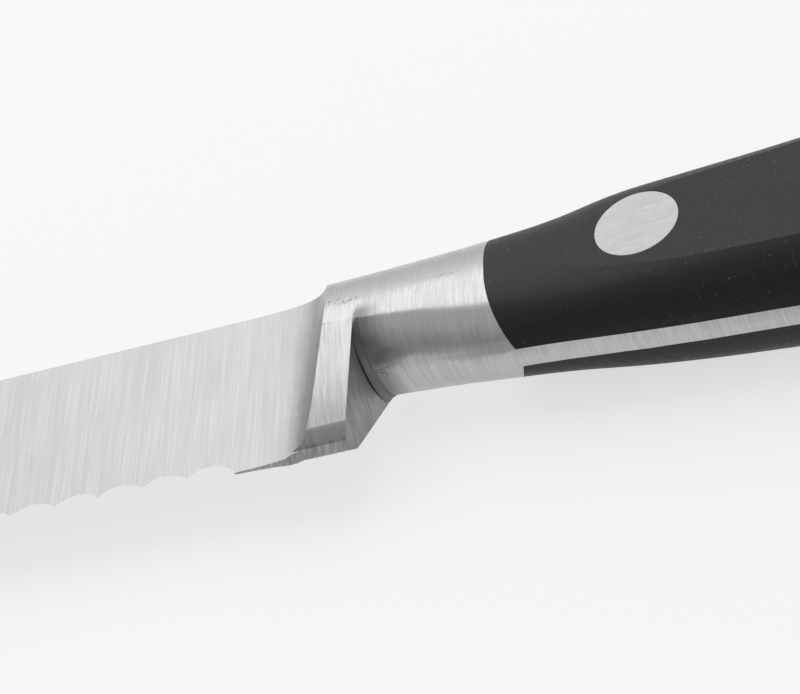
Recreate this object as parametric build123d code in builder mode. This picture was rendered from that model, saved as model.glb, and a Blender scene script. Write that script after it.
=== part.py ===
"""Forged tomato knife with a serrated blade and a three-rivet handle.

The knife lies on its right side.  +X runs from the blade towards the butt, +Y from
the cutting edge towards the spine, and +Z from the resting side to the left side,
which faces up.  The origin is on the middle rivet's axis, in the flat of the right
scale that the knife rests on.  All sizes are in millimetres.
"""
from build123d import *
import math
import os

os.makedirs("parts", exist_ok=True)

# Blade
blade_length = 130.0
blade_spine_thickness = 1.9
blade_tip_thickness = 0.8
blade_edge_thickness = 0.24
spine_above_rivet = 5.1
edge_below_rivet = 14.3
edge_rise = 0.95
tip_below_spine = 3.2
spine_drop_length = 52.0
belly_length = 36.0
tip_round = 0.5

# Serration, ground from the right side alone
serration_count = 24
serration_pitch = 4.51
serration_depth = 1.42
serration_cusp_height = 0.58
serration_grind_angle = 18.0
heel_land_length = 9.36

# Ramp that carries the blade's side up to the guard
ramp_length = 9.6
ramp_end_setback = 0.65
ramp_lean = 1.5
ramp_height = 5.0
ramp_run_shares = (0.29, 0.52, 0.70, 0.81, 0.90)
ramp_rise_shares = (0.020, 0.062, 0.170, 0.360, 0.650)

# Guard, a wedge that hangs below the collar
guard_below_rivet = 13.8
guard_bottom_width = 1.24
guard_round_width = 3.5
guard_round_height = 1.4
guard_shoulder_width = 10.56
guard_top_width = 9.9
guard_shoulder_below_rivet = 2.6
guard_side_height = 0.5
guard_thickness = 3.75
guard_rear_lean = 8.0
guard_groove_radius = 0.8
heel_step_length = 1.6

# Grip, the one outer shape that the collar, the tang and the scales share
grip_length = 110.0
grip_height = 21.0
grip_thickness = 14.0
front_rivet_thickness = 11.6
flat_taper_length = 26.0
flat_blend_radius = 40.0
butt_rake = 3.0
butt_round = 1.2

# Tang, and the seam where the scales meet the collar
tang_thickness = 2.2
seam_to_front_rivet = 12.8
seam_below_rivet = 7.4
seam_side_lean = 0.30
seam_top_lean = 0.10

# Rivets, each a stud pressed into a socket, and spaced as a share of the grip's length
rivet_pitch_share = 0.2818
rivet_head_diameter = 8.0
rivet_head_thickness = 2.2
rivet_socket_diameter = 5.0
rivet_pin_diameter = 3.2
rivet_pin_end_gap = 0.6
rivet_pin_bevel = 0.3
rivet_pin_clearance = 0.01
rivet_scale_clearance = 0.02
rivet_tang_clearance = 0.15
front_rivet_rise = 1.6
rear_rivet_drop = 0.4

# One overrun serves every cut
overrun = 12.0

# Grip sections at even steps along the grip, from just ahead of the guard to just
# past the butt.  Top, bottom and widest place are measured from the front rivet as
# shares of the grip's height, and the half width as a share of its thickness.  The
# fullness is how far each rounded quarter of a section is filled towards a box.
first_station_share = -0.10
station_step_share = 0.06
sections_per_station = 3
quarter_steps = 16
surface_degree = 3
surface_tolerance = 0.002
top_shares = (
    0.247, 0.248, 0.253, 0.275, 0.311, 0.338, 0.370, 0.382, 0.391, 0.405,
    0.418, 0.426, 0.428, 0.424, 0.415, 0.400, 0.382, 0.362, 0.340, 0.316,
)
bottom_shares = (
    0.185, 0.190, 0.228, 0.292, 0.351, 0.381, 0.419, 0.452, 0.477, 0.504,
    0.536, 0.568, 0.585, 0.596, 0.599, 0.595, 0.592, 0.602, 0.632, 0.675,
)
widest_shares = (
    0.124, 0.124, 0.124, 0.108, 0.091, 0.070, 0.040, 0.040, 0.050, 0.058,
    0.064, 0.070, 0.076, 0.082, 0.088, 0.094, 0.100, 0.110, 0.127, 0.146,
)
half_width_shares = (
    0.379, 0.379, 0.379, 0.379, 0.371, 0.382, 0.427, 0.472, 0.506, 0.532,
    0.552, 0.566, 0.574, 0.577, 0.575, 0.571, 0.565, 0.564, 0.564, 0.564,
)
upper_fullness_shares = (
    0.766, 0.766, 0.758, 0.729, 0.694, 0.709, 0.765, 0.740, 0.735, 0.750,
    0.765, 0.775, 0.783, 0.783, 0.783, 0.783, 0.783, 0.783, 0.783, 0.783,
)
lower_fullness_shares = (
    0.530, 0.530, 0.520, 0.550, 0.600, 0.700, 0.765, 0.765, 0.760, 0.765,
    0.770, 0.775, 0.783, 0.783, 0.783, 0.783, 0.783, 0.783, 0.783, 0.783,
)

# Places worked out from the sizes
middle_z = grip_thickness / 2
rivet_pitch = rivet_pitch_share * grip_length
front_rivet_x = -rivet_pitch
front_rivet_y = front_rivet_rise
rear_rivet_x = rivet_pitch
rear_rivet_y = -rear_rivet_drop
guard_front_x = front_rivet_x - rivet_pitch
spine_y = front_rivet_y + spine_above_rivet
edge_y = front_rivet_y - edge_below_rivet
guard_bottom_y = front_rivet_y - guard_below_rivet
tip_x = guard_front_x - blade_length
butt_x = guard_front_x + grip_length
ramp_end_x = guard_front_x + ramp_end_setback
ramp_start_x = ramp_end_x - ramp_length
rivet_places = {
    "front": (front_rivet_x, front_rivet_y, front_rivet_thickness / 2),
    "middle": (0, 0, grip_thickness / 2),
    "rear": (rear_rivet_x, rear_rivet_y, grip_thickness / 2),
}


def mirrored(points):
    """Outline points of the left half, followed by their mirror images, in order."""
    return list(points) + [(x, -z) for x, z in reversed(points)]


def share_at(shares, station):
    """Value of a table of shares at a place among its stations, on a smooth curve."""
    index = min(int(station), len(shares) - 2)
    before, start, end, after = (
        shares[min(max(index + step, 0), len(shares) - 1)] for step in (-1, 0, 1, 2)
    )
    run = station - index
    return (
        start * (2 * run**3 - 3 * run**2 + 1)
        + (end - before) / 2 * (run**3 - 2 * run**2 + run)
        + end * (3 * run**2 - 2 * run**3)
        + (after - start) / 2 * (run**3 - run**2)
    )


def grip_quarter(station, upper, growth=0):
    """Curve of one quarter of a grip section, from its mid-line to its left side."""
    if upper:
        reach = share_at(top_shares, station) * grip_height + growth
        fullness = share_at(upper_fullness_shares, station)
    else:
        reach = -share_at(bottom_shares, station) * grip_height - growth
        fullness = share_at(lower_fullness_shares, station)
    end = front_rivet_y + reach
    widest = front_rivet_y - share_at(widest_shares, station) * grip_height
    half_width = share_at(half_width_shares, station) * grip_thickness + growth
    return Bezier(
        (end, 0),
        (end, fullness * half_width),
        (widest + fullness * (end - widest), half_width),
        (widest, half_width),
    )


def grip_section_points(station):
    """Points down the left half of one grip section, from its top to its bottom."""
    x = guard_front_x + (first_station_share + station * station_step_share) * grip_length
    upper, lower = grip_quarter(station, True), grip_quarter(station, False)
    steps = [step / quarter_steps for step in range(quarter_steps + 1)]
    profile = [upper @ step for step in steps] + [lower @ step for step in reversed(steps[:-1])]
    return [Vector(x, point.X, middle_z + point.Y) for point in profile]


def blade_half_thickness(x, y):
    """Half of the blade's thickness, which tapers to the edge and to the tip."""
    rise = (y - edge_y) / (spine_y - edge_y)
    thickness = blade_edge_thickness + (blade_spine_thickness - blade_edge_thickness) * rise
    reach = max(ramp_start_x - x, 0) / (ramp_start_x - tip_x)
    return thickness / 2 * (1 - reach * (1 - blade_tip_thickness / blade_spine_thickness))


# Grip surface: one smooth face through the sections, its mirror image, and two ends
section_count = (len(top_shares) - 1) * sections_per_station + 1
left_surface = Face.make_surface_from_array_of_points(
    [grip_section_points(number / sections_per_station) for number in range(section_count)],
    tol=surface_tolerance,
    min_deg=surface_degree,
    max_deg=surface_degree,
)
grip_sides = [left_surface, left_surface.mirror(Plane.XY.offset(middle_z))]
grip_ends = [
    Face(Wire([side.edges().sort_by(Axis.X)[end] for side in grip_sides])) for end in (0, -1)
]

# Grip blank: the whole grip before it is parted into collar, tang and scales
with BuildPart() as grip_blank:
    add(Solid(Shell(grip_sides + grip_ends)))
    with BuildSketch(Plane.XY.offset(-overrun)):
        with BuildLine():
            butt_top = (butt_x - butt_rake, front_rivet_y + grip_height)
            butt_bottom = (butt_x, front_rivet_y - grip_height)
            front_x = guard_front_x - overrun
            Polyline(
                butt_top, butt_bottom, (front_x, butt_bottom[1]), (front_x, butt_top[1]), close=True
            )
        make_face()
    extrude(amount=grip_thickness + 2 * overrun, mode=Mode.INTERSECT)
    butt_face = faces().sort_by(Axis.X)[-1]
    fillet(butt_face.edges(), radius=butt_round)

# Side flats: two planes that open towards the butt, then run on side by side
flat_end_x = front_rivet_x + flat_taper_length
flat_slope = (grip_thickness - front_rivet_thickness) / 2 / flat_taper_length
flat_start_half = front_rivet_thickness / 2 - flat_slope * rivet_pitch
with BuildPart() as side_flats:
    with BuildSketch(Plane((0, 0, middle_z), x_dir=(1, 0, 0), z_dir=(0, -1, 0))):
        with BuildLine():
            left_flat = [(guard_front_x, flat_start_half), (flat_end_x, grip_thickness / 2),
                         (butt_x + overrun, grip_thickness / 2)]
            Polyline(mirrored(left_flat), close=True)
        make_face()
        blend_corners = vertices().filter_by_position(Axis.X, flat_end_x, flat_end_x)
        fillet(blend_corners, radius=flat_blend_radius)
    extrude(amount=grip_height, both=True)

# Scale pockets: the room beside the tang, from the leaning seam to the butt
seam_x = front_rivet_x - seam_to_front_rivet
seam_y = front_rivet_y - seam_below_rivet
scale_pockets = {}
for side, sign in (("left", 1), ("right", -1)):
    tang_side_z = middle_z + sign * tang_thickness / 2
    seam_plane = Plane(
        (seam_x, seam_y, tang_side_z),
        z_dir=(1, seam_top_lean, sign * seam_side_lean),
    )
    with BuildPart() as scale_pocket:
        with BuildSketch(Plane.XY.offset(tang_side_z)):
            with Locations(((front_rivet_x + butt_x) / 2, 0)):
                Rectangle(grip_length + overrun, 3 * grip_height)
        extrude(amount=sign * grip_thickness)
        split(bisect_by=seam_plane, keep=Keep.TOP)
    scale_pockets[side] = scale_pocket.part

# Guard bar: flat sides that close downwards to a narrow foot
guard_rear_x = guard_front_x + guard_thickness
shoulder_y = front_rivet_y - guard_shoulder_below_rivet
side_y = shoulder_y - guard_side_height
round_y = guard_bottom_y + guard_round_height
foot_y = guard_bottom_y - guard_round_height
bar_start_x = ramp_start_x - guard_thickness
with BuildPart() as guard_bar:
    with BuildSketch(Plane((bar_start_x, 0, middle_z), x_dir=(0, 1, 0), z_dir=(1, 0, 0))):
        with BuildLine():
            for sign in (1, -1):
                shoulder = (shoulder_y, sign * guard_top_width / 2)
                side_start = (side_y, sign * guard_shoulder_width / 2)
                round_start = (round_y, sign * guard_round_width / 2)
                round_end = (guard_bottom_y, sign * guard_bottom_width / 2)
                foot = (foot_y, sign * guard_bottom_width / 2)
                Line(shoulder, side_start)
                side_line = Line(side_start, round_start)
                TangentArc(round_start, round_end, tangent=side_line % 1)
                Line(round_end, foot)
                Line((shoulder_y, 0), shoulder)
                Line((foot_y, 0), foot)
        make_face()
    extrude(amount=ramp_length + overrun)

# Guard wedge: the bar up to a rear face that leans, the way the hand presses on it
rear_lean = math.radians(guard_rear_lean)
with BuildPart() as guard_wedge:
    add(guard_bar.part)
    split(
        bisect_by=Plane(
            (guard_rear_x, side_y, middle_z),
            z_dir=(math.cos(rear_lean), -math.sin(rear_lean), 0),
        ),
        keep=Keep.BOTTOM,
    )

# Guard groove: a cove that carries the guard's rear face into the collar, and that
# takes the collar's section at the guard's rear face
groove_start_x = guard_rear_x - guard_side_height / 2
groove_station = (guard_thickness / grip_length - first_station_share) / station_step_share
cove_share = 1 - math.cos(math.radians(45))
with BuildPart() as guard_groove:
    for run_share, spread_share in ((0, 1), (cove_share, cove_share), (1, 0)):
        groove_x = groove_start_x + run_share * guard_groove_radius
        with BuildSketch(Plane((groove_x, 0, middle_z), x_dir=(0, 1, 0), z_dir=(1, 0, 0))):
            with BuildLine():
                for upper in (True, False):
                    growth = spread_share * guard_groove_radius
                    mirror(grip_quarter(groove_station, upper, growth), about=Plane.XZ)
            make_face()
    loft(ruled=True)
    add(guard_bar.part, mode=Mode.INTERSECT)

# Blade plate and ramp profile, each lofted between two plan views, one high and one
# just below the edge, so that both follow the blade's taper
below_edge_y = edge_y - blade_edge_thickness
with BuildPart() as blade_plate:
    for height in (spine_y, below_edge_y):
        half = blade_half_thickness(ramp_start_x, height)
        tip_half = blade_half_thickness(tip_x, height)
        with BuildSketch(Plane((0, height, middle_z), x_dir=(1, 0, 0), z_dir=(0, -1, 0))):
            with BuildLine():
                Polyline(
                    mirrored([(tip_x, tip_half), (ramp_start_x, half), (guard_front_x, half)]),
                    close=True,
                )
            make_face()
    loft(ruled=True)

with BuildPart() as ramp_profile:
    for height in (front_rivet_y + grip_height, below_edge_y):
        half = blade_half_thickness(ramp_start_x, height)
        lean_x = (height - edge_y) * math.tan(math.radians(ramp_lean))
        start_x, end_x = ramp_start_x + lean_x, ramp_end_x + lean_x
        ramp = [(start_x, half)]
        for run_share, rise_share in zip(ramp_run_shares, ramp_rise_shares):
            ramp.append((start_x + run_share * ramp_length, half + rise_share * ramp_height))
        ramp.append((end_x, half + ramp_height))
        end_run, end_rise = ramp[-1][0] - ramp[-2][0], ramp[-1][1] - ramp[-2][1]
        with BuildSketch(Plane((0, height, middle_z), x_dir=(1, 0, 0), z_dir=(0, -1, 0))):
            with BuildLine():
                for sign in (1, -1):
                    Spline(
                        [(x, sign * z) for x, z in ramp],
                        tangents=[(1, 0), (end_run, sign * end_rise)],
                    )
                    Polyline(
                        (end_x, sign * (half + ramp_height)),
                        (end_x, sign * grip_thickness),
                        (butt_x + overrun, sign * grip_thickness),
                        (butt_x + overrun, 0),
                    )
                    Line((start_x, 0), (start_x, sign * half))
            make_face()
    loft(ruled=True)

# Side outline of the blade and the guard, which runs on past the whole grip
heel_x = guard_front_x - heel_land_length
heel_front_x = guard_front_x - guard_thickness
step_x = heel_front_x + heel_step_length
belly_start = (tip_x + belly_length, edge_y + edge_rise)
tip = (tip_x, spine_y - tip_below_spine)
drop_start = (tip_x + spine_drop_length, spine_y)
with BuildPart() as side_outline:
    with BuildSketch(Plane.XY.offset(-overrun)):
        with BuildLine():
            edge_line = Line((heel_x, edge_y), belly_start)
            belly = TangentArc(belly_start, tip, tangent=edge_line % 1)
            TangentArc(drop_start, tip, tangent=(-1, 0))
            Polyline(
                drop_start,
                (step_x, spine_y),
                (step_x, spine_y + grip_height),
                (butt_x + overrun, spine_y + grip_height),
                (butt_x + overrun, edge_y - grip_height),
                (guard_rear_x, edge_y - grip_height),
                (guard_rear_x, guard_bottom_y),
                (step_x, guard_bottom_y),
                (heel_front_x, edge_y),
                (heel_x, edge_y),
            )
        make_face()
        tip_corner = vertices().sort_by(Axis.X)[0]
        fillet(tip_corner, radius=tip_round)
    extrude(amount=grip_thickness + 2 * overrun)

# Blade: the plate cut to outline.  Each scallop of its edge is ground by a round wheel
# that leans, so that only the right side carries a bevel.
grind_angle = math.radians(serration_grind_angle)
side_taper = math.atan(
    (blade_spine_thickness - blade_edge_thickness) / 2 / (spine_y - edge_y)
)
wheel_lean = grind_angle - side_taper
wheel_dip = (serration_depth - serration_cusp_height) * math.sin(grind_angle)
wheel_radius = ((serration_pitch / 2) ** 2 + wheel_dip**2) / (2 * wheel_dip)
with BuildPart() as blade:
    add(blade_plate.part)
    add(side_outline.part, mode=Mode.INTERSECT)
    for index in range(serration_count):
        distance = (index + 0.5) * serration_pitch
        if distance < edge_line.length:
            curve, share = edge_line, distance / edge_line.length
        else:
            curve, share = belly, (distance - edge_line.length) / belly.length
        along = curve % share
        inward = Vector(along.Y, -along.X, 0)
        deepest = curve @ share + inward * serration_depth
        left_z = middle_z + blade_half_thickness(deepest.X, deepest.Y)
        wheel_side = inward * math.sin(wheel_lean) + Vector(0, 0, math.cos(wheel_lean))
        wheel_axis = inward * math.cos(wheel_lean) - Vector(0, 0, math.sin(wheel_lean))
        centre = Vector(deepest.X, deepest.Y, left_z) - wheel_side * wheel_radius
        with Locations(Plane(centre, x_dir=along, z_dir=wheel_axis)):
            Cylinder(wheel_radius, overrun, mode=Mode.SUBTRACT)

# Forging: blade, guard, collar and full tang in one piece
with BuildPart() as forging:
    add(grip_blank.part)
    add(guard_wedge.part)
    add(guard_groove.part)
    add(ramp_profile.part, mode=Mode.INTERSECT)
    add(side_outline.part, mode=Mode.INTERSECT)
    for pocket in scale_pockets.values():
        add(pocket, mode=Mode.SUBTRACT)
    for x, y, half in rivet_places.values():
        with Locations((x, y, middle_z)):
            Cylinder(
                rivet_socket_diameter / 2 + rivet_tang_clearance,
                grip_thickness,
                mode=Mode.SUBTRACT,
            )
    add(blade.part)
forging.part.label = "forging"
export_step(forging.part, "parts/forging.step")

# Handle scales: what the blank holds in each pocket, faced off by the side flats
for side, sign in (("left", 1), ("right", -1)):
    with BuildPart() as scale:
        add(grip_blank.part)
        add(scale_pockets[side], mode=Mode.INTERSECT)
        add(side_flats.part, mode=Mode.INTERSECT)
        for x, y, half in rivet_places.values():
            with Locations((x, y, middle_z)):
                Cylinder(
                    rivet_socket_diameter / 2 + rivet_scale_clearance,
                    2 * grip_thickness,
                    mode=Mode.SUBTRACT,
                )
            with Locations((x, y, middle_z + sign * (half - rivet_head_thickness))):
                Cylinder(
                    rivet_head_diameter / 2 + rivet_scale_clearance,
                    overrun,
                    align=(Align.CENTER, Align.CENTER, Align.MIN if sign > 0 else Align.MAX),
                    mode=Mode.SUBTRACT,
                )
    scale.part.label = "handle_scale_" + side
    export_step(scale.part, "parts/handle_scale_" + side + ".step")

# Rivets: a socket pressed in from the left takes a stud pressed in from the right
for place, (x, y, half) in rivet_places.items():
    seat_reach = half - rivet_head_thickness
    head_height = rivet_head_thickness + overrun
    with BuildPart() as socket:
        with Locations((x, y, middle_z + seat_reach)):
            Cylinder(
                rivet_head_diameter / 2,
                head_height,
                align=(Align.CENTER, Align.CENTER, Align.MIN),
            )
            Cylinder(
                rivet_socket_diameter / 2,
                2 * seat_reach - rivet_pin_end_gap,
                align=(Align.CENTER, Align.CENTER, Align.MAX),
            )
            Cylinder(
                rivet_pin_diameter / 2 + rivet_pin_clearance,
                2 * seat_reach,
                align=(Align.CENTER, Align.CENTER, Align.MAX),
                mode=Mode.SUBTRACT,
            )
        add(side_flats.part, mode=Mode.INTERSECT)
    socket.part.label = "rivet_socket_" + place
    export_step(socket.part, "parts/rivet_socket_" + place + ".step")

    with BuildPart() as stud:
        with Locations((x, y, middle_z - seat_reach)):
            Cylinder(
                rivet_head_diameter / 2,
                head_height,
                align=(Align.CENTER, Align.CENTER, Align.MAX),
            )
            Cylinder(
                rivet_pin_diameter / 2,
                2 * seat_reach - rivet_pin_end_gap,
                align=(Align.CENTER, Align.CENTER, Align.MIN),
            )
        pin_end = edges().filter_by(GeomType.CIRCLE).sort_by(Axis.Z)[-1]
        chamfer(pin_end, length=rivet_pin_bevel)
        add(side_flats.part, mode=Mode.INTERSECT)
    stud.part.label = "rivet_stud_" + place
    export_step(stud.part, "parts/rivet_stud_" + place + ".step")
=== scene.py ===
"""Looks of a forged tomato knife: satin steel, black moulded scales, three flush rivets.

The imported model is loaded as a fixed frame, and each piece is dressed in that frame.
Lengths are in metres, or in millimetres where a name ends in mm or a comment says so.
"""

import math

import bmesh
import bpy
from bpy.props import FloatProperty, FloatVectorProperty, IntProperty, PointerProperty
from mathutils import Matrix, Vector


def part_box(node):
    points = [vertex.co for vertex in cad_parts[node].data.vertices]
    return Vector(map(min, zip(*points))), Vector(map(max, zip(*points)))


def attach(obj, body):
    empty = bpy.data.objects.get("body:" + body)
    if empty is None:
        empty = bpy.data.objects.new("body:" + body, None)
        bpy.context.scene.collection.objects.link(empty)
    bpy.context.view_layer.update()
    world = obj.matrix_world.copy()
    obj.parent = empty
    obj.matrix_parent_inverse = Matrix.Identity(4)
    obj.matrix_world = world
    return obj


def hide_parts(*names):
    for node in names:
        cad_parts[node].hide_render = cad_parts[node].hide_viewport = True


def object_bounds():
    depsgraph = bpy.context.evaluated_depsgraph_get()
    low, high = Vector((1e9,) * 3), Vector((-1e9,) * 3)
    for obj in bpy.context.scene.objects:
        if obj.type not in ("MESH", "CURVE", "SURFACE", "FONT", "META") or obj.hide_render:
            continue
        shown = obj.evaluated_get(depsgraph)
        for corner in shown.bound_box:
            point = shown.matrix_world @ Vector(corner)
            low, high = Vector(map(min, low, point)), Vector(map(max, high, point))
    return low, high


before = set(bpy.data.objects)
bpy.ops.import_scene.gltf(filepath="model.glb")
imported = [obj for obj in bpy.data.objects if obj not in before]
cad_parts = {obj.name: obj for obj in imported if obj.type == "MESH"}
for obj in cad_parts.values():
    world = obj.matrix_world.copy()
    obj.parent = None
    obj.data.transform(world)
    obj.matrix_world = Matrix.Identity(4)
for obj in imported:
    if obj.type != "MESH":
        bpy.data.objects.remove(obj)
CAD_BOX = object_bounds()

bl_info = {
    "name": "Tomato Knife",
    "version": (1, 0, 0),
    "blender": (4, 5, 0),
    "location": "View3D > Sidebar > Knife",
    "description": "Builds a forged tomato knife and the studio it is shown in",
    "category": "Object",
}

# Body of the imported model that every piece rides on
BODY = "root"

MM = 0.001

# Middle of the knife's thickness, and where the cutting edge and the guard's foot lie
MID_Z = sum(corner.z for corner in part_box("forging")) / 2
EDGE_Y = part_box("forging")[0].y

# Places on the forging where one finish ends and the next starts
RAMP_START_X = -70.9 * MM
RAMP_MIDDLE_X = -66.0 * MM
RAMP_FOOT_X = -65.3 * MM
RAMP_FOOT_Y = -12.0 * MM
RAMP_LEAN = math.tan(math.radians(1.5))
BAND_FRONT_X = -61.4 * MM
GUARD_REAR_X = -58.08 * MM
GUARD_LEAN = math.tan(math.radians(8))
GROOVE_END_X = -57.0 * MM
GUARD_FOOT_Y = -10.6 * MM
SCALLOP_HEIGHT = 10.4 * MM

# Shares of a face's normal along an axis, by which the finish of that face is told
FLAT_LOOKS_OUT = 0.8
BEVEL_LOOKS_DOWN = 0.15
RAMP_LOOKS_AHEAD = 0.05
GUARD_LOOKS_BACK = 0.3
GUARD_LEAN_ERROR = 0.05
FOOT_LOOKS_ASIDE = 0.6

# How alike two faces of the hollow behind the guard look before one shade covers both
HOLLOW_REACH = math.cos(math.radians(50))

# Corners of triangles this close are one corner, and edges this short are dropped
JOIN_DISTANCE = 0.5e-6
LEAST_EDGE = 1e-7

# Slots of the forging's finishes, in the order of its material slots
FORGING_FINISHES = ("blade", "ramp", "collar", "guard", "groove", "cross_ground", "scallop")

# Way the belt or wheel ran over each finish, and the way that finish looks
GRAINS = {
    "blade": ((-0.03, 1.0, 0.0), (0.0, 0.0, 1.0)),
    "ramp": ((-0.03, 1.0, 0.0), (0.0, 0.0, 1.0)),
    "collar": ((0.0, 1.0, 0.0), (0.0, 0.0, 1.0)),
    "guard": ((0.0, 0.407, 0.914), (1.0, 0.0, 0.0)),
    "cross_ground": ((0.33, 0.0, 0.94), (0.0, -1.0, 0.0)),
    "scallop": ((-0.115, 0.993, 0.0), (0.0, 0.0, -1.0)),
    "groove": ((0.0, 1.0, 0.0), (0.0, 0.0, 1.0)),
    "rivet": ((1.0, 0.0, 0.0), (0.0, 0.0, 1.0)),
}

# Layers of a ground face's lines: how many times wider and longer than the finest lines
# each is, and what it weighs in the tone.  Clouds of uneven grinding lie over them.
LINE_LAYERS = ((1, 1, 0.56), (4, 2.5, 0.22), (16, 4, 0.10))
CLOUD_WEIGHT = 0.12
CLOUDS_PER_METRE = 0.14 / MM

# Stretch that nearly all of the mixed noise falls in
MIXED_RANGE = {"From Min": 0.36, "From Max": 0.64}

# Pits that forging scale left on top of the collar, deeper than the belt ground: their
# middle, how far they reach and the size of one pit, in mm, and how dark they are
COLLAR_PITS = (
    ((-59.7, 1.25, 12.2), (2.6, 0.60, 1.6), 0.22, 0.85),
    ((-49.7, 1.65, 12.2), (2.0, 0.28, 1.2), 0.16, 0.55),
)

# Painted shade on the collar, at the foot of the band and in the corner behind the guard: where
# the darkening starts and is full along X, along Y and square to the leaning guard, and how dark
# it is
COLLAR_PAINTED_SHADE = (
    ({"X": (-57.9 * MM, -58.0 * MM), "Y": (-5.0 * MM, -11.0 * MM)}, 0.37),
    ({"X": (-55.0 * MM, -57.8 * MM), "Square": (GUARD_REAR_X, -58.0 * MM),
      "Y": (0.6 * MM, -1.0 * MM)}, 0.60),
)

# Tone of the painted shade in those corners, of the pits, and of the groove's painted shade, as
# shares of the steel's round them
PAINTED_SHADE_TONE = 0.05
PIT_TONE = 0.18
GROOVE_PAINTED_SHADE = 0.55

# Grain of the moulded skin, its clouds, and its polishing streaks, which run across
SKIN_GRAIN = 0.35 * MM
PLASTIC_CLOUD = 9 * MM
STREAK_WIDTH = 0.3 * MM
STREAK_STRETCH = (1.0, 0.15, 0.3)

# Dust on the black: spacing, largest radius as a share of it, and share of places with dust
DUST = ((1.3 * MM, 0.11, 0.5), (0.5 * MM, 0.16, 0.8))

# Rivets, their pins' bevel, the break round a socket's mouth, and how near the front and the
# rear of a head its height is read
RIVET_PLACES = ("front", "middle", "rear")
PIN_BEVEL = 0.3 * MM
SOCKET_BREAK = 0.1 * MM
HEAD_END = 0.2 * MM

# Floor, and the room under the knife, so that its flat underside and the floor don't share
# a plane
FLOOR_HALF_WIDTH = 3.0
FLOOR_GAP = 0.02 * MM

# White card under the knife, which only the steel and the black mirror: where it fades out
# before the collar and the handle, and before the heel, which stands further forward
CARD_FADE_Y = {"From Min": -22.0 * MM, "From Max": -15.0 * MM}
CARD_HEEL_FADE_Y = {"From Min": -33.0 * MM, "From Max": -26.0 * MM}
CARD_HEEL_FADE_X = {"From Min": -62.0 * MM, "From Max": -66.0 * MM}

# Soft panels: size, place and the point that they face
TOP_PANEL = ((1.8, 1.60), (-0.3, 0.82, 1.1), (-0.3, 0.82, 0.0))
BACK_PANEL = ((3.6, 1.7), (-0.6, 2.2, 0.90), (-0.6, 0.0, 0.90))

# Room light from the horizon up, as shares of its setting
ROOM_SHARES = (0.75, 1.25)

# Where the camera stands and which way it looks, fitted to the outlines in the photograph
CAMERA_PLACE = Vector((20.56, -184.0, 170.39)) * MM
CAMERA_SIGHT = Vector((-0.2966, 0.7125, -0.6359))


def linear(hex_colour):
    """Linear colour of an sRGB hex value."""
    channels = [int(hex_colour[start:start + 2], 16) / 255 for start in (1, 3, 5)]
    return tuple(
        share / 12.92 if share <= 0.04045 else ((share + 0.055) / 1.055) ** 2.4
        for share in channels
    )


def colour_property(name, description, hex_colour):
    """Colour setting with its default given as an sRGB hex value."""
    return FloatVectorProperty(
        name=name, description=description, subtype="COLOR", size=3,
        min=0.0, max=1.0, default=linear(hex_colour),
    )


def length_property(name, description, default):
    """Length setting in metres."""
    return FloatProperty(
        name=name, description=description, unit="LENGTH", min=0.0, default=default, precision=5,
    )


class KnifeSteelSettings(bpy.types.PropertyGroup):
    """Colours and brush lines of the forged blade, guard, collar and tang"""

    blade_colour: colour_property("Blade", "Satin steel of the blade", "#C4C5C6")
    collar_colour: colour_property("Collar", "Brushed steel of the collar", "#CECFD0")
    guard_colour: colour_property("Guard", "Coarsely ground steel behind the guard", "#A4A5A7")
    # The belt's own scratches are too fine to show, so these lines are drawn coarser
    line_spacing: length_property("Line spacing", "Space between brush lines", 0.20 * MM)
    line_length: length_property("Line length", "Length of a brush line", 9.0 * MM)


class KnifeHandleSettings(bpy.types.PropertyGroup):
    """Colours of the two moulded scales"""

    plastic_colour: colour_property("Plastic", "Black of the moulded scales", "#1B1B1C")
    speck_colour: colour_property("Specks", "Dust and nicks in the black", "#77777A")


class KnifeRivetSettings(bpy.types.PropertyGroup):
    """Sizes and colour of the three rivets, each a stud in a socket"""

    steel_colour: colour_property("Rivet steel", "Ground heads of the rivets", "#C1C2C3")
    head_diameter: length_property("Head", "Diameter of a head", 8.0 * MM)
    socket_diameter: length_property("Socket", "Diameter of the socket's barrel", 5.0 * MM)
    pin_diameter: length_property("Pin", "Diameter of the stud's pin", 3.2 * MM)
    pin_clearance: length_property("Pin gap", "Gap between the pin and its bore", 0.01 * MM)
    head_thickness: length_property("Head thickness", "Thickness of a head", 2.2 * MM)
    edge_break: length_property("Edge break", "Chamfer round a head", 0.04 * MM)
    steps: IntProperty(name="Steps", description="Steps round a rivet", default=72, min=12)


class KnifeStageSettings(bpy.types.PropertyGroup):
    """Floor, lamps and camera of the studio"""

    floor_colour: colour_property("Floor", "Pale floor", "#A8A8A8")
    floor_lift: FloatProperty(
        name="Floor lift", description="Light added to what is seen of the floor",
        min=0.0, default=0.65,
    )
    mirrored_lift: FloatProperty(
        name="Mirrored lift", description="Share of the lift mirrored on the card",
        subtype="FACTOR", min=0.0, max=1.0, default=0.76,
    )
    far_mirrored_lift: FloatProperty(
        name="Far mirrored lift", description="Share of the lift mirrored beyond the card",
        subtype="FACTOR", min=0.0, max=1.0, default=0.14,
    )
    top_light: FloatProperty(
        name="Top light", description="Light of the top panel, 1 being white",
        min=0.0, default=0.85,
    )
    back_light: FloatProperty(
        name="Back light", description="Light of the panel behind, 1 being white",
        min=0.0, default=0.38,
    )
    room_light: FloatProperty(
        name="Room light", description="Light of the room, 1 being white",
        min=0.0, default=0.38,
    )
    lens: FloatProperty(
        name="Lens", description="Focal length in mm", unit="CAMERA", min=1.0, default=125.28,
    )
    camera_roll: FloatProperty(
        name="Camera roll", description="Turn about the line of sight", subtype="ANGLE",
        default=math.radians(27.887),
    )


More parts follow.
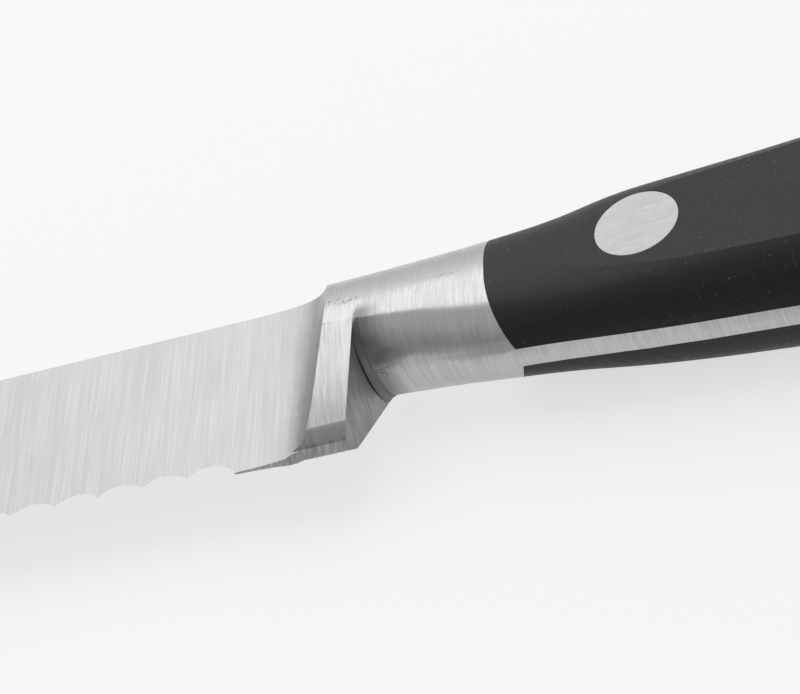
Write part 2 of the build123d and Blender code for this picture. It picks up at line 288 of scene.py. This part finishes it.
def add_node(tree, kind, inputs=None, **settings):
    """Adds a node, sets its fields, and fills its inputs or links them.

    An input takes a value, a socket, or a node, which stands for its first socket in use.
    """
    made = tree.nodes.new(kind)
    for field, value in settings.items():
        setattr(made, field, value)
    for socket, source in (inputs or {}).items():
        if isinstance(source, bpy.types.Node):
            source = next(output for output in source.outputs if output.enabled)
        if isinstance(source, bpy.types.NodeSocket):
            tree.links.new(source, made.inputs[socket])
        else:
            made.inputs[socket].default_value = source
    return made


def new_material(name):
    """Material with an empty tree, and that tree."""
    material = bpy.data.materials.new(name)
    material.use_nodes = True
    material.node_tree.nodes.clear()
    return material, material.node_tree


def shade(colour, share):
    """Colour with each channel times a share, as a four-channel value."""
    return tuple(min(channel * share, 1.0) for channel in colour[:3]) + (1.0,)


def ground_lines(tree, place, turn, spacing, length, wave):
    """Noises drawn out along the grain, one for each layer of lines."""
    layers = []
    for wider, longer, _ in LINE_LAYERS:
        size = (spacing * wider, length * longer, length * longer)
        drawn_out = add_node(
            tree, "ShaderNodeMapping", {"Vector": place, "Rotation": turn, "Scale": size},
            vector_type="TEXTURE")
        layers.append(add_node(
            tree, "ShaderNodeTexNoise",
            {"Vector": drawn_out, "Scale": 1.0, "Detail": 3.0, "Roughness": 0.6,
             "Distortion": wave}))
    return layers


def painted_corner_shade(tree, base, colour, place, corners):
    """Colour of a ground face with painted shade darkening the corners given."""
    axes = add_node(tree, "ShaderNodeSeparateXYZ", {"Vector": place}).outputs
    places = {"X": axes["X"], "Y": axes["Y"]}
    places["Square"] = add_node(
        tree, "ShaderNodeMath", {0: axes["Y"], 1: -GUARD_LEAN, 2: axes["X"]},
        operation="MULTIPLY_ADD")
    for ranges, depth in corners:
        corner = depth
        for axis, (start, full) in ranges.items():
            reach = add_node(
                tree, "ShaderNodeMapRange",
                {"Value": places[axis], "From Min": start, "From Max": full},
                interpolation_type="SMOOTHSTEP")
            corner = add_node(tree, "ShaderNodeMath", {0: corner, 1: reach}, operation="MULTIPLY")
        base = add_node(
            tree, "ShaderNodeMix", {0: corner, 6: base, 7: shade(colour, PAINTED_SHADE_TONE)},
            data_type="RGBA")
    return base


def pitted(tree, base, height, colour, place, pits):
    """Colour and height of a ground face with patches of small dark pits in it.

    The middle of each cell is a pit, and a noise makes its outline ragged.
    """
    for centre_mm, reach_mm, pit_mm, depth in pits:
        cells = add_node(
            tree, "ShaderNodeTexVoronoi", {"Vector": place, "Scale": 1 / (pit_mm * MM)})
        ragged = add_node(
            tree, "ShaderNodeTexNoise",
            {"Vector": place, "Scale": 1 / (2 * pit_mm * MM), "Detail": 4.0, "Roughness": 0.7})
        both = add_node(tree, "ShaderNodeMath", {0: cells, 1: ragged}, operation="ADD")
        everywhere = add_node(
            tree, "ShaderNodeMapRange", {"Value": both, "From Min": 0.98, "From Max": 0.72},
            interpolation_type="SMOOTHSTEP")
        per_reach = [1 / (reach * MM) for reach in reach_mm]
        centred = add_node(
            tree, "ShaderNodeMapping",
            {"Vector": place, "Scale": per_reach,
             "Location": [-c * MM * share for c, share in zip(centre_mm, per_reach)]})
        nearness = add_node(
            tree, "ShaderNodeTexGradient", {"Vector": centred}, gradient_type="SPHERICAL")
        patch = add_node(
            tree, "ShaderNodeMapRange", {"Value": nearness.outputs["Fac"], "From Max": 0.35},
            interpolation_type="SMOOTHSTEP")
        pit = add_node(tree, "ShaderNodeMath", {0: everywhere, 1: patch}, operation="MULTIPLY")
        dark = add_node(tree, "ShaderNodeMath", {0: pit, 1: depth}, operation="MULTIPLY")
        base = add_node(
            tree, "ShaderNodeMix", {0: dark, 6: base, 7: shade(colour, PIT_TONE)},
            data_type="RGBA")
        height = add_node(
            tree, "ShaderNodeMath", {0: pit, 1: -2.0, 2: height}, operation="MULTIPLY_ADD")
    return base, height


def steel(name, colour, settings, grain, roughness, contrast, relief_mm, spacing_share=1.0,
          length_share=1.0, wave=0.0, corners=(), pits=()):
    """Ground stainless steel whose lines run one way over each of its faces.

    The belt leaves fine parallel scratches, so the steel is bright along them and its
    reflections are drawn out across them.  The grain is the way the lines run and the way
    the face looks.  Contrast is how far the lines' tone departs from the colour, and wave
    is how far the lines bend.
    """
    material, tree = new_material(name)
    place = add_node(tree, "ShaderNodeTexCoord").outputs["Object"]
    run, facing = (Vector(axis).normalized() for axis in grain)
    across = run.cross(facing)
    turn = Matrix((across, run, facing)).transposed().to_euler()
    layers = ground_lines(
        tree, place, turn, settings.line_spacing * spacing_share,
        settings.line_length * length_share, wave)
    clouds = add_node(
        tree, "ShaderNodeTexNoise",
        {"Vector": place, "Scale": CLOUDS_PER_METRE, "Detail": 3.0, "Roughness": 0.5})
    weights = [weight for _, _, weight in LINE_LAYERS] + [CLOUD_WEIGHT]
    mixed = 0.0
    for layer, weight in zip(layers + [clouds], weights):
        mixed = add_node(
            tree, "ShaderNodeMath", {0: layer, 1: weight, 2: mixed}, operation="MULTIPLY_ADD")
    # Ridges between the scratches are paler and less dull than what lies in them
    tone = add_node(
        tree, "ShaderNodeMapRange", {"Value": mixed, **MIXED_RANGE},
        interpolation_type="SMOOTHSTEP")
    dull = add_node(
        tree, "ShaderNodeMapRange",
        {"Value": mixed, **MIXED_RANGE, "To Min": roughness + 0.06, "To Max": roughness - 0.05},
        interpolation_type="SMOOTHSTEP")
    base = add_node(
        tree, "ShaderNodeMix",
        {0: tone, 6: shade(colour, 1 - contrast), 7: shade(colour, 1 + contrast)},
        data_type="RGBA")
    # Painted shade darkens the corners given, where shade falls
    if corners:
        base = painted_corner_shade(tree, base, colour, place, corners)
    base, height = pitted(tree, base, layers[0], colour, place, pits)
    drawn_out = add_node(
        tree, "ShaderNodeVectorTransform", {"Vector": across}, vector_type="VECTOR",
        convert_from="OBJECT", convert_to="WORLD")
    bump = add_node(
        tree, "ShaderNodeBump",
        {"Height": height, "Strength": 0.6, "Distance": relief_mm * MM})
    shader = add_node(
        tree, "ShaderNodeBsdfPrincipled",
        {"Base Color": base, "Roughness": dull, "Metallic": 1.0, "Anisotropic": 0.6,
         "Tangent": drawn_out, "Normal": bump})
    add_node(tree, "ShaderNodeOutputMaterial", {"Surface": shader})
    return material


def moulded_plastic(settings):
    """Black acetal, moulded and lightly polished.

    It is close and even, so the eye gets a soft dull sheen with faint polishing streaks
    across it.  Pale dust and nicks stand out on the black.
    """
    material, tree = new_material("moulded_black_acetal")
    place = add_node(tree, "ShaderNodeTexCoord").outputs["Object"]
    across = add_node(
        tree, "ShaderNodeVectorMath", {0: place, 1: STREAK_STRETCH}, operation="MULTIPLY")
    skin = add_node(
        tree, "ShaderNodeTexNoise",
        {"Vector": place, "Scale": 1 / SKIN_GRAIN, "Detail": 3.0, "Roughness": 0.6})
    clouds = add_node(
        tree, "ShaderNodeTexNoise",
        {"Vector": place, "Scale": 1 / PLASTIC_CLOUD, "Detail": 3.0, "Roughness": 0.5})
    streaks = add_node(
        tree, "ShaderNodeTexNoise",
        {"Vector": across, "Scale": 1 / STREAK_WIDTH, "Detail": 3.0, "Roughness": 0.65})
    # Each cell may hold one speck of dust, and the paler clouds hold more of them
    dust = 0.0
    for spacing, radius_share, kept in DUST:
        cells = add_node(
            tree, "ShaderNodeTexVoronoi", {"Vector": place, "Scale": 1 / spacing}).outputs
        chance = add_node(tree, "ShaderNodeSeparateColor", {"Color": cells["Color"]})
        radius = add_node(
            tree, "ShaderNodeMapRange",
            {"Value": chance, "From Max": kept, "To Min": radius_share, "To Max": 0.0},
            interpolation_type="SMOOTHSTEP")
        speck = add_node(
            tree, "ShaderNodeMath", {0: cells["Distance"], 1: radius}, operation="LESS_THAN")
        dust = add_node(tree, "ShaderNodeMath", {0: speck, 1: dust}, operation="MAXIMUM")
    gathered = add_node(
        tree, "ShaderNodeMapRange",
        {"Value": clouds, "From Min": 0.38, "From Max": 0.56, "To Min": 0.15, "To Max": 1.0},
        interpolation_type="SMOOTHSTEP")
    dust = add_node(tree, "ShaderNodeMath", {0: dust, 1: gathered}, operation="MULTIPLY")
    faint_dust = add_node(tree, "ShaderNodeMath", {0: dust, 1: 0.6}, operation="MULTIPLY")
    faint_streaks = add_node(
        tree, "ShaderNodeMapRange",
        {"Value": streaks, "From Min": 0.58, "From Max": 0.76, "To Max": 0.14},
        interpolation_type="SMOOTHSTEP")
    # Black that is slightly uneven, with the dust and the streaks over it
    pale = shade(settings.speck_colour, 1.0)
    base = add_node(
        tree, "ShaderNodeMix",
        {0: clouds, 6: shade(settings.plastic_colour, 0.85),
         7: shade(settings.plastic_colour, 1.15)},
        data_type="RGBA")
    for share in (faint_dust, faint_streaks):
        base = add_node(
            tree, "ShaderNodeMix", {0: share, 6: base, 7: pale}, data_type="RGBA")
    # The moulded skin and the streaks make the sheen uneven, and the dust stands out
    uneven = add_node(tree, "ShaderNodeMath", {0: skin, 1: streaks}, operation="ADD")
    dull = add_node(
        tree, "ShaderNodeMapRange",
        {"Value": uneven, "From Min": 0.7, "From Max": 1.3, "To Min": 0.36, "To Max": 0.48},
        interpolation_type="SMOOTHSTEP")
    height = add_node(
        tree, "ShaderNodeMath", {0: dust, 1: 2.0, 2: skin}, operation="MULTIPLY_ADD")
    bump = add_node(
        tree, "ShaderNodeBump", {"Height": height, "Strength": 0.35, "Distance": 0.006 * MM})
    shader = add_node(
        tree, "ShaderNodeBsdfPrincipled",
        {"Base Color": base, "Roughness": dull, "IOR": 1.48, "Specular IOR Level": 0.45,
         "Normal": bump})
    add_node(tree, "ShaderNodeOutputMaterial", {"Surface": shader})
    return material


def merged_copy(node_name, piece_name, finish_of=None):
    """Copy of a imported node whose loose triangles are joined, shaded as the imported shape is.

    Each face gets the material slot that finish_of gives for its centre and its normal.
    """
    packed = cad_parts[node_name].data
    piece = bpy.data.objects.new(piece_name, packed.copy())
    bpy.context.scene.collection.objects.link(piece)
    mesh = piece.data
    shape = bmesh.new()
    shape.from_mesh(mesh)
    kept = shape.loops.layers.float_vector.new("packed_normal")
    for face, packed_face in zip(shape.faces, packed.polygons):
        for loop, corner in zip(face.loops, packed_face.loop_indices):
            loop[kept] = packed.corner_normals[corner].vector
    bmesh.ops.remove_doubles(shape, verts=shape.verts, dist=JOIN_DISTANCE)
    bmesh.ops.dissolve_degenerate(shape, edges=shape.edges, dist=LEAST_EDGE)
    shape.to_mesh(mesh)
    shape.free()
    normals = [item.vector.copy() for item in mesh.attributes["packed_normal"].data]
    mesh.attributes.remove(mesh.attributes["packed_normal"])
    mesh.materials.clear()
    if finish_of:
        for face in mesh.polygons:
            face.material_index = FORGING_FINISHES.index(finish_of(face.center, face.normal))
        soften_hollow(mesh, normals, FORGING_FINISHES.index("groove"))
    mesh.shade_smooth()
    mesh.normals_split_custom_set(normals)
    return piece


def soften_hollow(mesh, normals, slot):
    """Shades the faces of one slot, and those behind that they meet, as one smooth hollow."""
    met = {}
    for face in mesh.polygons:
        if face.center.x - face.center.y * GUARD_LEAN <= GUARD_REAR_X:
            continue
        for corner, vertex in zip(face.loop_indices, face.vertices):
            met.setdefault(vertex, []).append((corner, face.material_index == slot))
    for corners in met.values():
        hollow = [normals[corner] for corner, inside in corners if inside]
        if not hollow:
            continue
        middle = sum(hollow, Vector()).normalized()
        joined = [corner for corner, _ in corners if normals[corner].dot(middle) > HOLLOW_REACH]
        mean = sum((normals[corner] for corner in joined), Vector()).normalized()
        for corner in joined:
            normals[corner] = mean


def bake_modifiers(piece):
    """Replaces a piece's mesh by what its modifiers make of it."""
    evaluated = piece.evaluated_get(bpy.context.evaluated_depsgraph_get())
    mesh = bpy.data.meshes.new_from_object(evaluated)
    piece.modifiers.clear()
    old = piece.data
    piece.data = mesh
    mesh.name = piece.name
    bpy.data.meshes.remove(old)


def forging_finish(centre, normal):
    """Name of the finish of one face of the forging, from where it is and faces."""
    lean = (centre.y - EDGE_Y) * RAMP_LEAN
    if centre.x < RAMP_START_X + lean:
        near_edge = centre.y < EDGE_Y + SCALLOP_HEIGHT
        if near_edge and normal.z < 0 and normal.y < -BEVEL_LOOKS_DOWN:
            return "scallop"
        return "blade" if abs(normal.z) > FLAT_LOOKS_OUT else "cross_ground"
    on_band_front = centre.x < BAND_FRONT_X + lean and normal.x < -RAMP_LOOKS_AHEAD
    if on_band_front or centre.x < RAMP_MIDDLE_X:
        below = centre.y < RAMP_FOOT_Y and centre.x > RAMP_FOOT_X
        return "cross_ground" if abs(normal.y) > FLAT_LOOKS_OUT or below else "ramp"
    if centre.x < GROOVE_END_X and centre.y < 0:
        if normal.x > GUARD_LOOKS_BACK:
            leans = abs(normal.y + GUARD_LEAN) < GUARD_LEAN_ERROR
            return "guard" if leans else "groove"
        if centre.y < GUARD_FOOT_Y and abs(normal.z) < FOOT_LOOKS_ASIDE:
            return "cross_ground"
    return "collar"


class KNIFE_OT_forging(bpy.types.Operator):
    """Make the blade, guard, collar and tang, which are one forging"""

    bl_idname = "knife.make_forging"
    bl_label = "Forging"
    bl_options = {"REGISTER", "UNDO"}

    def execute(self, context):
        settings = context.scene.knife_steel
        piece = merged_copy("forging", "forging_ground", forging_finish)
        blade, collar = settings.blade_colour, settings.collar_colour
        guard = settings.guard_colour
        finishes = {
            # Fine belt from spine to edge: an even pale sheen with faint upright lines
            "blade": steel(
                "satin_blade_steel", blade, settings, GRAINS["blade"],
                roughness=0.30, contrast=0.05, relief_mm=0.004, spacing_share=0.8),
            # The same belt, carried up the ramp, so it darkens only as the ramp turns
            "ramp": steel(
                "satin_ramp_steel", blade, settings, GRAINS["ramp"],
                roughness=0.30, contrast=0.05, relief_mm=0.004, spacing_share=0.8),
            # Short strokes round the collar: bright and dark bands with brushed limits, and
            # painted shade at the foot of the band and in the corner behind the guard
            "collar": steel(
                "brushed_collar_steel", collar, settings, GRAINS["collar"],
                roughness=0.28, contrast=0.08, relief_mm=0.006, spacing_share=0.9,
                length_share=0.35, corners=COLLAR_PAINTED_SHADE, pits=COLLAR_PITS),
            # Coarse wheel over the guard's rear: darker, with slanted scratches
            "guard": steel(
                "coarse_ground_guard_steel", guard, settings, GRAINS["guard"],
                roughness=0.38, contrast=0.20, relief_mm=0.010, spacing_share=1.5,
                length_share=0.4),
            # Narrow groove that is hardly ground, so dull, and its colour darkened with painted
            # shade as a recess
            "groove": steel(
                "painted_shade_groove_steel", shade(guard, GROOVE_PAINTED_SHADE), settings, GRAINS["groove"],
                roughness=0.45, contrast=0.10, relief_mm=0.004, length_share=0.5),
            # Coarse belt across spine, edge and heel: short scratches from side to side
            "cross_ground": steel(
                "cross_ground_steel", guard, settings, GRAINS["cross_ground"],
                roughness=0.40, contrast=0.26, relief_mm=0.010, spacing_share=1.3,
                length_share=0.3),
            # Fine wheel in each scallop: brighter and more mirror-like than the blade
            "scallop": steel(
                "wheel_ground_scallop_steel", blade, settings, GRAINS["scallop"],
                roughness=0.22, contrast=0.12, relief_mm=0.004, spacing_share=0.8,
                length_share=0.5),
        }
        for finish in FORGING_FINISHES:
            piece.data.materials.append(finishes[finish])
        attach(piece, BODY)
        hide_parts("forging")
        return {"FINISHED"}


class KNIFE_OT_scales(bpy.types.Operator):
    """Make the two moulded scales of the handle"""

    bl_idname = "knife.make_scales"
    bl_label = "Scales"
    bl_options = {"REGISTER", "UNDO"}

    def execute(self, context):
        settings = context.scene.knife_handle
        plastic = moulded_plastic(settings)
        for side in ("left", "right"):
            node = "handle_scale_" + side
            piece = merged_copy(node, "moulded_scale_" + side)
            piece.data.materials.append(plastic)
            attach(piece, BODY)
            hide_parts(node)
        return {"FINISHED"}


def rivet_tree():
    """Geometry Nodes that turn a rivet half from a profile of nine points.

    The head faces up.  Its core is a blind bore in a socket, and the tip of a stud's pin.
    """
    tree = bpy.data.node_groups.new("turned_rivet", "GeometryNodeTree")
    tree.interface.new_socket("Geometry", in_out="OUTPUT", socket_type="NodeSocketGeometry")
    sockets = {
        "NodeSocketFloat": (
            "Head Radius", "Shank Radius", "Core Radius", "Top", "Seat", "Shank End",
            "Core End", "Edge Break", "Shank Chamfer", "Top Slope", "Turn"),
        "NodeSocketInt": ("Steps",),
        "NodeSocketVector": ("Place",),
        "NodeSocketMaterial": ("Steel",),
    }
    for socket_type, names in sockets.items():
        for name in names:
            tree.interface.new_socket(name, in_out="INPUT", socket_type=socket_type)
    given = add_node(tree, "NodeGroupInput").outputs

    chamfered_head, chamfered_top, chamfered_shank = (
        add_node(tree, "ShaderNodeMath", {0: given[whole], 1: given[cut]}, operation=operation)
        for operation, whole, cut in (
            ("SUBTRACT", "Head Radius", "Edge Break"),
            ("SUBTRACT", "Top", "Edge Break"),
            ("ADD", "Shank End", "Shank Chamfer")))
    profile = (
        (0.0, given["Core End"]),
        (given["Core Radius"], given["Core End"]),
        (given["Core Radius"], given["Shank End"]),
        (given["Shank Radius"], chamfered_shank),
        (given["Shank Radius"], given["Seat"]),
        (given["Head Radius"], given["Seat"]),
        (given["Head Radius"], chamfered_top),
        (chamfered_head, given["Top"]),
        (0.0, given["Top"]),
    )

    # A grid has one row of points for each point of the profile, and a column for each step
    around = add_node(tree, "ShaderNodeMath", {0: given["Steps"], 1: 1.0}, operation="ADD")
    grid = add_node(
        tree, "GeometryNodeMeshGrid",
        {"Size X": 1.0, "Size Y": 1.0, "Vertices X": len(profile), "Vertices Y": around})
    index = add_node(tree, "GeometryNodeInputIndex")
    rows_done = add_node(tree, "ShaderNodeMath", {0: index, 1: around}, operation="DIVIDE")
    row = add_node(tree, "ShaderNodeMath", {0: rows_done}, operation="FLOOR")
    column = add_node(tree, "ShaderNodeMath", {0: index, 1: around}, operation="MODULO")
    point = add_node(tree, "GeometryNodeIndexSwitch", {"Index": row}, data_type="VECTOR")
    while len(point.index_switch_items) < len(profile):
        point.index_switch_items.new()
    for item, (radius, height) in enumerate(profile):
        corner = add_node(tree, "ShaderNodeCombineXYZ", {"X": radius, "Z": height})
        tree.links.new(corner.outputs["Vector"], point.inputs[item + 1])
    share = add_node(tree, "ShaderNodeMath", {0: column, 1: given["Steps"]}, operation="DIVIDE")
    angle = add_node(tree, "ShaderNodeMath", {0: share, 1: 2 * math.pi}, operation="MULTIPLY")
    turned = add_node(
        tree, "ShaderNodeVectorRotate", {"Vector": point, "Angle": angle},
        rotation_type="Z_AXIS")
    shaped = add_node(
        tree, "GeometryNodeSetPosition", {"Geometry": grid, "Position": turned})
    closed = add_node(
        tree, "GeometryNodeMergeByDistance", {"Geometry": shaped, "Distance": LEAST_EDGE})

    # The ground top slopes along the handle, as the scale round it does
    place = add_node(tree, "GeometryNodeInputPosition")
    axes = add_node(tree, "ShaderNodeSeparateXYZ", {"Vector": place}).outputs
    over_seat = add_node(
        tree, "ShaderNodeMath", {0: given["Seat"], 1: given["Edge Break"]}, operation="ADD")
    is_top = add_node(
        tree, "ShaderNodeMath", {0: axes["Z"], 1: over_seat}, operation="GREATER_THAN")
    slope = add_node(
        tree, "ShaderNodeMath", {0: axes["X"], 1: given["Top Slope"]}, operation="MULTIPLY")
    rise = add_node(tree, "ShaderNodeMath", {0: slope, 1: is_top}, operation="MULTIPLY")
    lift = add_node(tree, "ShaderNodeCombineXYZ", {"Z": rise})
    sloped = add_node(tree, "GeometryNodeSetPosition", {"Geometry": closed, "Offset": lift})
    turn = add_node(tree, "ShaderNodeCombineXYZ", {"X": given["Turn"]})
    stood = add_node(
        tree, "GeometryNodeTransform",
        {"Geometry": sloped, "Translation": given["Place"], "Rotation": turn})
    realized = add_node(tree, "GeometryNodeRealizeInstances", {"Geometry": stood})
    painted = add_node(
        tree, "GeometryNodeSetMaterial", {"Geometry": realized, "Material": given["Steel"]})
    add_node(tree, "NodeGroupOutput", {"Geometry": painted})
    return tree


def set_inputs(modifier, values):
    """Sets the inputs of a Geometry Nodes modifier by their sockets' identifiers."""
    for item in modifier.node_group.interface.items_tree:
        if item.in_out == "INPUT" and item.name in values:
            modifier[item.identifier] = values[item.name]


class KNIFE_OT_rivets(bpy.types.Operator):
    """Make the sockets and studs of the three rivets"""

    bl_idname = "knife.make_rivets"
    bl_label = "Rivets"
    bl_options = {"REGISTER", "UNDO"}

    def execute(self, context):
        settings = context.scene.knife_rivets
        # Belt along the handle over a round head: an even pale disc with faint wavy lines
        metal = steel(
            "ground_rivet_steel", settings.steel_colour, context.scene.knife_steel,
            GRAINS["rivet"], roughness=0.34, contrast=0.045, relief_mm=0.003,
            spacing_share=0.9, length_share=0.2, wave=0.8)
        tree = rivet_tree()
        for name in RIVET_PLACES:
            for half in ("socket", "stud"):
                self.make_half(name, half, settings, tree, metal)
        return {"FINISHED"}

    def make_half(self, name, half, settings, tree, metal):
        """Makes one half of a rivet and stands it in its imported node's place."""
        node = "rivet_" + half + "_" + name
        low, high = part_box(node)
        is_socket = half == "socket"
        up = 1 if is_socket else -1
        outer, inner = (high.z, low.z) if is_socket else (low.z, high.z)
        points = [vertex.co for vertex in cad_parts[node].data.vertices]
        rear = max((p.z - MID_Z) * up for p in points if p.x > high.x - HEAD_END)
        front = max((p.z - MID_Z) * up for p in points if p.x < low.x + HEAD_END)
        slope = (rear - front) / (high.x - low.x)
        top = abs(outer - MID_Z) - slope * (high.x - low.x) / 2
        seat = top - settings.head_thickness
        shank_end = (inner - MID_Z) * up
        pin = settings.pin_diameter / 2
        sizes = {
            "Head Radius": settings.head_diameter / 2,
            "Top": top,
            "Seat": seat,
            "Shank End": shank_end,
            "Edge Break": settings.edge_break,
            "Top Slope": slope,
            "Steps": settings.steps,
            "Place": ((low.x + high.x) / 2, (low.y + high.y) / 2, MID_Z),
            "Steel": metal,
        }
        if is_socket:
            sizes |= {
                "Shank Radius": settings.socket_diameter / 2,
                "Shank Chamfer": SOCKET_BREAK,
                "Core Radius": pin + settings.pin_clearance,
                "Core End": seat,
                "Turn": 0.0,
            }
        else:
            sizes |= {
                "Shank Radius": pin,
                "Shank Chamfer": PIN_BEVEL,
                "Core Radius": pin - PIN_BEVEL,
                "Core End": shank_end,
                "Turn": math.pi,
            }
        piece = bpy.data.objects.new("turned_" + node, bpy.data.meshes.new("turned_" + node))
        bpy.context.scene.collection.objects.link(piece)
        modifier = piece.modifiers.new("turned", "NODES")
        modifier.node_group = tree
        set_inputs(modifier, sizes)
        bake_modifiers(piece)
        piece.data.shade_flat()
        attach(piece, BODY)
        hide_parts(node)


def panel_lamp(name, panel, radiance):
    """Soft flat lamp whose surface shines at a given level, 1 being white."""
    size, place, aim = panel
    data = bpy.data.lights.new(name, "AREA")
    data.shape = "RECTANGLE"
    data.size, data.size_y = size
    data.energy = radiance * math.pi * size[0] * size[1]
    lamp = bpy.data.objects.new(name, data)
    bpy.context.scene.collection.objects.link(lamp)
    lamp.location = place
    lamp.rotation_mode = "QUATERNION"
    lamp.rotation_quaternion = (Vector(aim) - Vector(place)).to_track_quat("-Z", "Y")


class KNIFE_OT_stage(bpy.types.Operator):
    """Make the pale floor, the soft lamps and the camera"""

    bl_idname = "knife.make_stage"
    bl_label = "Stage"
    bl_options = {"REGISTER", "UNDO"}

    def execute(self, context):
        settings = context.scene.knife_stage
        self.make_floor(context, settings)
        panel_lamp("top_panel", TOP_PANEL, settings.top_light)
        panel_lamp("back_panel", BACK_PANEL, settings.back_light)
        self.make_room(context, settings)
        self.make_camera(context, settings)
        context.scene.view_settings.view_transform = "Standard"
        return {"FINISHED"}

    def make_room(self, context, settings):
        """Dim white room that grows lighter from the horizon up."""
        world = bpy.data.worlds.new("studio_room")
        world.use_nodes = True
        context.scene.world = world
        tree = world.node_tree
        tree.nodes.clear()
        way = add_node(tree, "ShaderNodeTexCoord").outputs["Generated"]
        up = add_node(tree, "ShaderNodeSeparateXYZ", {"Vector": way}).outputs["Z"]
        low, high = (settings.room_light * share for share in ROOM_SHARES)
        strength = add_node(
            tree, "ShaderNodeMapRange",
            {"Value": up, "From Max": 0.8, "To Min": low, "To Max": high},
            interpolation_type="SMOOTHSTEP")
        room = add_node(
            tree, "ShaderNodeBackground",
            {"Color": (1.0, 1.0, 1.0, 1.0), "Strength": strength})
        add_node(tree, "ShaderNodeOutputWorld", {"Surface": room})

    def make_floor(self, context, settings):
        """Large plain floor that the knife lies on."""
        shape = bmesh.new()
        bmesh.ops.create_grid(shape, x_segments=8, y_segments=8, size=FLOOR_HALF_WIDTH)
        mesh = bpy.data.meshes.new("pale_floor")
        shape.to_mesh(mesh)
        shape.free()
        floor = bpy.data.objects.new("pale_floor", mesh)
        context.scene.collection.objects.link(floor)
        mesh.transform(Matrix.Translation((0.0, 0.0, CAD_BOX[0].z - FLOOR_GAP)))
        mesh.materials.append(self.floor_paint(settings))

    def floor_paint(self, settings):
        """Pale matte paint, an even ground that the eye passes over.

        What is seen of it is lifted nearly to white, and what is mirrored of it is lifted
        on the card alone.  The knife's shadow stays on it.
        """
        material, tree = new_material("pale_studio_floor")
        place = add_node(tree, "ShaderNodeTexCoord").outputs["Object"]
        axes = add_node(tree, "ShaderNodeSeparateXYZ", {"Vector": place}).outputs
        under, before_heel, beside_heel = (
            add_node(
                tree, "ShaderNodeMapRange", {"Value": axes[axis], **fade},
                interpolation_type="SMOOTHSTEP")
            for axis, fade in (
                ("Y", CARD_FADE_Y), ("Y", CARD_HEEL_FADE_Y), ("X", CARD_HEEL_FADE_X)))
        by_heel = add_node(
            tree, "ShaderNodeMath", {0: beside_heel, 1: before_heel}, operation="MULTIPLY")
        card = add_node(tree, "ShaderNodeMath", {0: under, 1: by_heel}, operation="MAXIMUM")
        card_lift = add_node(
            tree, "ShaderNodeMapRange",
            {"Value": card, "To Min": settings.far_mirrored_lift,
             "To Max": settings.mirrored_lift},
            interpolation_type="SMOOTHSTEP")
        ray = add_node(tree, "ShaderNodeLightPath").outputs
        lift = add_node(
            tree, "ShaderNodeMath", {0: ray["Is Glossy Ray"], 1: card_lift},
            operation="MULTIPLY")
        for seen in ("Is Camera Ray", "Is Transmission Ray"):
            lift = add_node(tree, "ShaderNodeMath", {0: lift, 1: ray[seen]}, operation="MAXIMUM")
        glow = add_node(
            tree, "ShaderNodeMath", {0: lift, 1: settings.floor_lift}, operation="MULTIPLY")
        shader = add_node(
            tree, "ShaderNodeBsdfPrincipled",
            {"Base Color": shade(settings.floor_colour, 1.0), "Roughness": 0.8,
             "Specular IOR Level": 0.2, "Emission Color": (1.0, 1.0, 1.0, 1.0),
             "Emission Strength": glow})
        add_node(tree, "ShaderNodeOutputMaterial", {"Surface": shader})
        return material

    def make_camera(self, context, settings):
        """Camera at the photograph's viewing angle."""
        data = bpy.data.cameras.new("photo_camera")
        data.lens = settings.lens
        data.sensor_width = 36.0
        data.clip_start, data.clip_end = 0.01, 10.0
        camera = bpy.data.objects.new("photo_camera", data)
        context.scene.collection.objects.link(camera)
        roll = Matrix.Rotation(-settings.camera_roll, 3, "Z").to_quaternion()
        camera.rotation_mode = "QUATERNION"
        camera.rotation_quaternion = CAMERA_SIGHT.to_track_quat("-Z", "Y") @ roll
        camera.location = CAMERA_PLACE
        context.scene.camera = camera


class KNIFE_PT_panel(bpy.types.Panel):
    """Settings and steps of the knife"""

    bl_idname = "KNIFE_PT_panel"
    bl_label = "Tomato Knife"
    bl_space_type = "VIEW_3D"
    bl_region_type = "UI"
    bl_category = "Knife"

    def draw(self, context):
        for title, settings_name, operator in STEPS:
            box = self.layout.box()
            box.label(text=title)
            settings = getattr(context.scene, settings_name)
            for field in settings.__annotations__:
                box.prop(settings, field)
            box.operator(operator.bl_idname)


STEPS = (
    ("Steel", "knife_steel", KNIFE_OT_forging),
    ("Handle", "knife_handle", KNIFE_OT_scales),
    ("Rivets", "knife_rivets", KNIFE_OT_rivets),
    ("Stage", "knife_stage", KNIFE_OT_stage),
)
SETTINGS = {
    "knife_steel": KnifeSteelSettings,
    "knife_handle": KnifeHandleSettings,
    "knife_rivets": KnifeRivetSettings,
    "knife_stage": KnifeStageSettings,
}


def register():
    """Registers the settings, the steps and the panel."""
    for name, group in SETTINGS.items():
        bpy.utils.register_class(group)
        setattr(bpy.types.Scene, name, PointerProperty(type=group))
    for _, _, operator in STEPS:
        bpy.utils.register_class(operator)
    bpy.utils.register_class(KNIFE_PT_panel)


def unregister():
    """Undoes what register did."""
    bpy.utils.unregister_class(KNIFE_PT_panel)
    for _, _, operator in reversed(STEPS):
        bpy.utils.unregister_class(operator)
    for name, group in reversed(SETTINGS.items()):
        delattr(bpy.types.Scene, name)
        bpy.utils.unregister_class(group)


def main():
    """Builds every piece and the stage."""
    register()
    bpy.ops.knife.make_forging()
    bpy.ops.knife.make_scales()
    bpy.ops.knife.make_rivets()
    bpy.ops.knife.make_stage()


if __name__ == "__main__":
    main()
